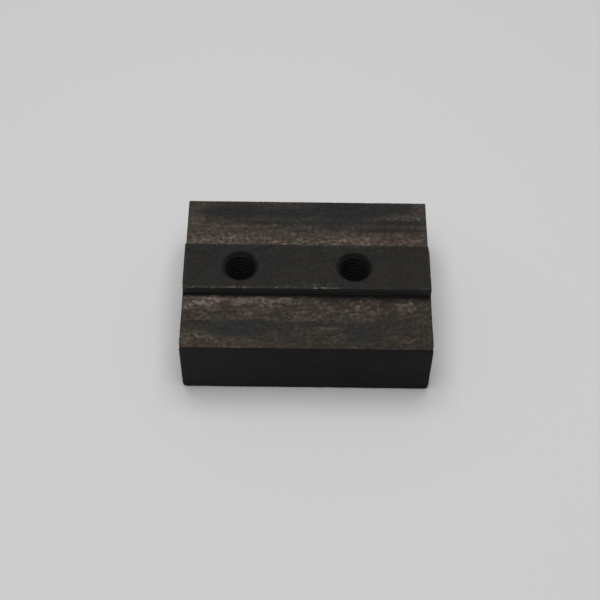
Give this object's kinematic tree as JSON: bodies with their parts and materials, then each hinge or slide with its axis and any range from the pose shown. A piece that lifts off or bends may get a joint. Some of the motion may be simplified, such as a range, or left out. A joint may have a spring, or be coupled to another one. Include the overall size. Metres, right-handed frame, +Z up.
{
  "type": "vice nut",
  "caption": "T-shaped blackened steel slot nut for a machine vice: a wide block with a low guide tongue along its top and tapped, countersunk screw holes through the tongue.",
  "frame": {"origin": "centre of the underside", "axes": "+X along the slot that the nut runs in, +Y across it, +Z up through the tongue, along the screw holes"},
  "size_m": [0.07, 0.0524, 0.0227],
  "materials": {
    "blackened_steel": "black oxide, worn to a brown-grey patina on the shoulders"
  },
  "bodies": {
    "root": {"vice_nut": "blackened_steel"}
  },
  "joints": []
}
